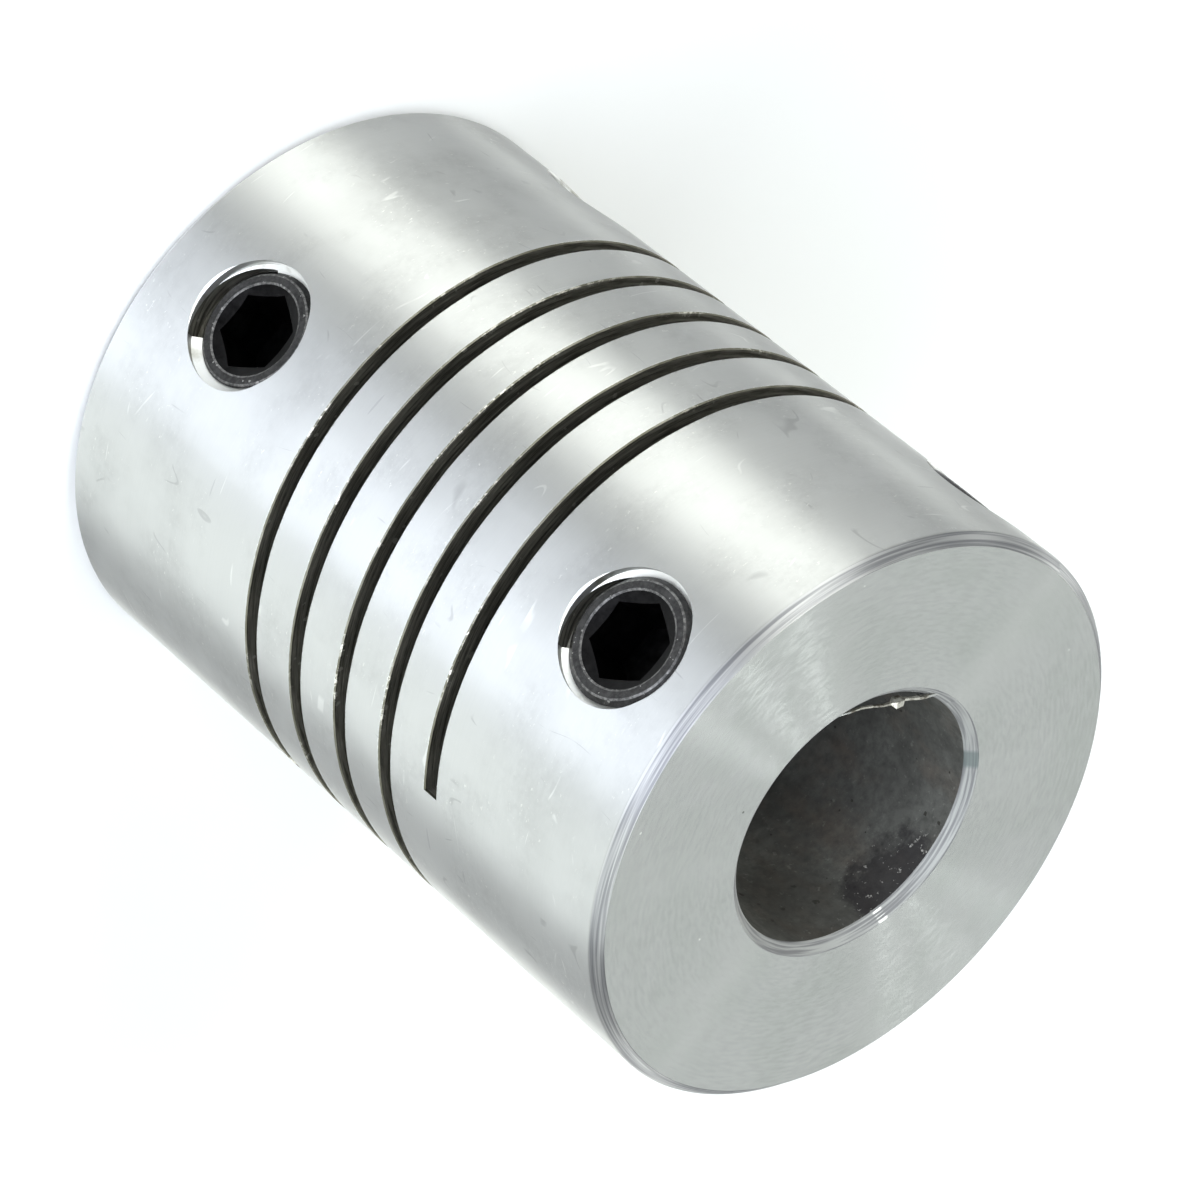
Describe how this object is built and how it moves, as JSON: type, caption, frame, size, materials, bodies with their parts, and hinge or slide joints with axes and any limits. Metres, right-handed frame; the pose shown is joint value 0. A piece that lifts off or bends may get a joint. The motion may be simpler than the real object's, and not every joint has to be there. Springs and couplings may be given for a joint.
{
  "type": "flexible coupling",
  "caption": "Helical beam shaft coupling in aluminium: a turned cylinder with a stepped bore and a helical slot, clamped to its shafts by set screws.",
  "frame": {"origin": "centre of the small-bore end face, on which it stands", "axes": "+Z along the shaft axis, from the small bore to the large bore; -Y out through the front set screws; -X out through the side set screws"},
  "size_m": [0.018, 0.018, 0.025],
  "materials": {
    "aluminium": "satin, turned and tumbled",
    "black_steel": "black oxide"
  },
  "bodies": {
    "root": {"coupling_body": "aluminium", "top_front_screw": "black_steel", "top_side_screw": "black_steel", "bottom_front_screw": "black_steel", "bottom_side_screw": "black_steel"}
  },
  "joints": []
}
